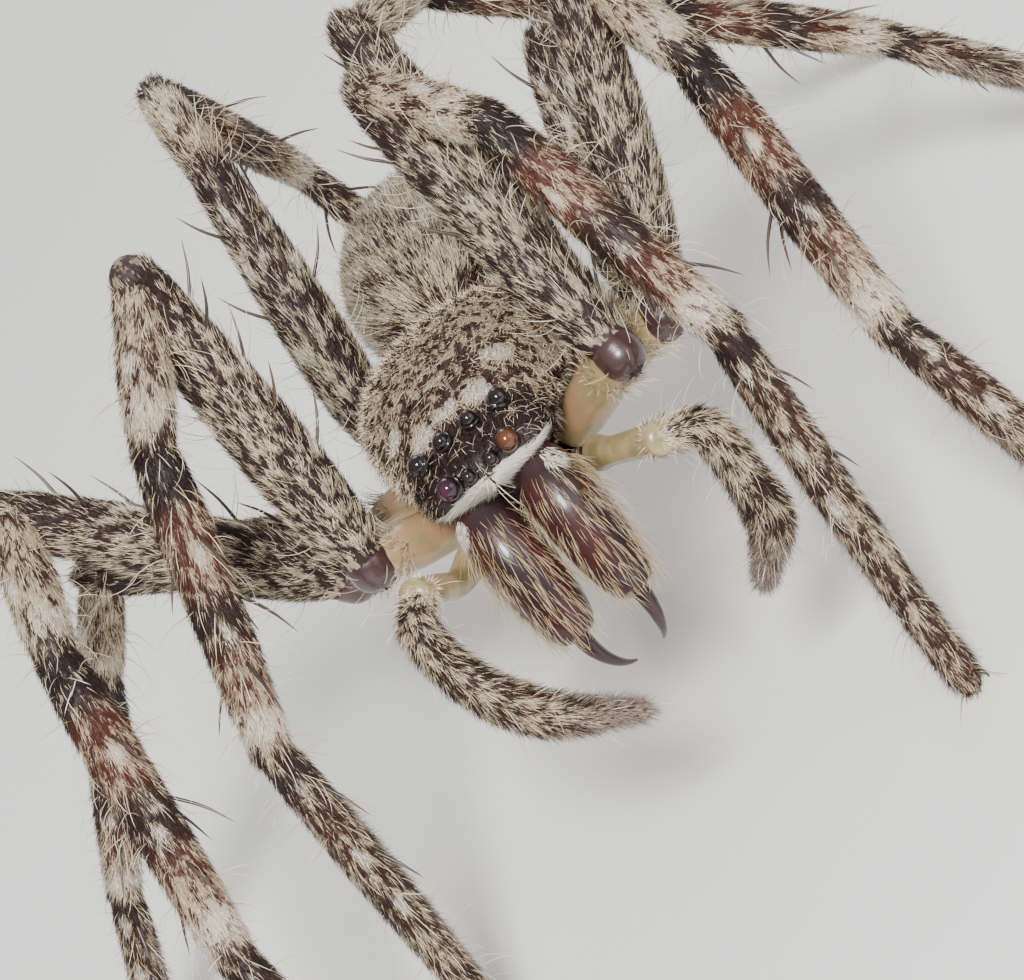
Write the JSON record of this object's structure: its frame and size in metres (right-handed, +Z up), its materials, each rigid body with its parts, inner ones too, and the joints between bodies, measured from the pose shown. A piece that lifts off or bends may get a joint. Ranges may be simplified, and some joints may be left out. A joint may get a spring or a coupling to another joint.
{
  "type": "huntsman spider",
  "caption": "Still life-size huntsman spider standing high on bent, mottled, bristly legs, with stout dark jaws, a row of pale bristles under the eyes and an egg-shaped abdomen.",
  "frame": {"origin": "middle of the box of the whole spider, on the floor that it stands on", "axes": "+Z up, -Y the way the head faces, +X to the spider's left"},
  "size_m": [0.0447, 0.0397, 0.0212],
  "materials": {
    "hairy_skin": "short cream and dark brown hairs lying flat over red-brown skin, in mottled bands",
    "abdomen_skin": "soft pinkish tan skin under cream hairs with dark streaks",
    "pale_shell": "thin, olive to orange-brown, slightly see-through shell",
    "dark_shell": "glossy maroon-black shell",
    "eye_lens": "wet, dark, smooth lens"
  },
  "bodies": {
    "root": {"carapace": "hairy_skin", "abdomen": "abdomen_skin", "sternum": "pale_shell", "labium": "pale_shell", "pedicel": "pale_shell", "spinnerets": "abdomen_skin", "eye_left_front_middle": "eye_lens", "eye_left_front_side": "eye_lens", "eye_left_rear_middle": "eye_lens", "eye_left_rear_side": "eye_lens", "chelicera_left": "dark_shell", "fang_left": "dark_shell", "maxilla_left": "pale_shell", "palp_left_base": "pale_shell", "palp_left_tip": "hairy_skin", "leg_left_1_upper": "hairy_skin", "leg_left_1_middle": "hairy_skin", "leg_left_1_lower": "hairy_skin", "leg_left_2_upper": "hairy_skin", "leg_left_2_middle": "hairy_skin", "leg_left_2_lower": "hairy_skin", "leg_left_3_upper": "hairy_skin", "leg_left_3_middle": "hairy_skin", "leg_left_3_lower": "hairy_skin", "leg_left_4_upper": "hairy_skin", "leg_left_4_middle": "hairy_skin", "leg_left_4_lower": "hairy_skin", "eye_right_front_middle": "eye_lens", "eye_right_front_side": "eye_lens", "eye_right_rear_middle": "eye_lens", "eye_right_rear_side": "eye_lens", "chelicera_right": "dark_shell", "fang_right": "dark_shell", "maxilla_right": "pale_shell", "palp_right_base": "pale_shell", "palp_right_tip": "hairy_skin", "leg_right_1_upper": "hairy_skin", "leg_right_1_middle": "hairy_skin", "leg_right_1_lower": "hairy_skin", "leg_right_2_upper": "hairy_skin", "leg_right_2_middle": "hairy_skin", "leg_right_2_lower": "hairy_skin", "leg_right_3_upper": "hairy_skin", "leg_right_3_middle": "hairy_skin", "leg_right_3_lower": "hairy_skin", "leg_right_4_upper": "hairy_skin", "leg_right_4_middle": "hairy_skin", "leg_right_4_lower": "hairy_skin"}
  },
  "joints": []
}
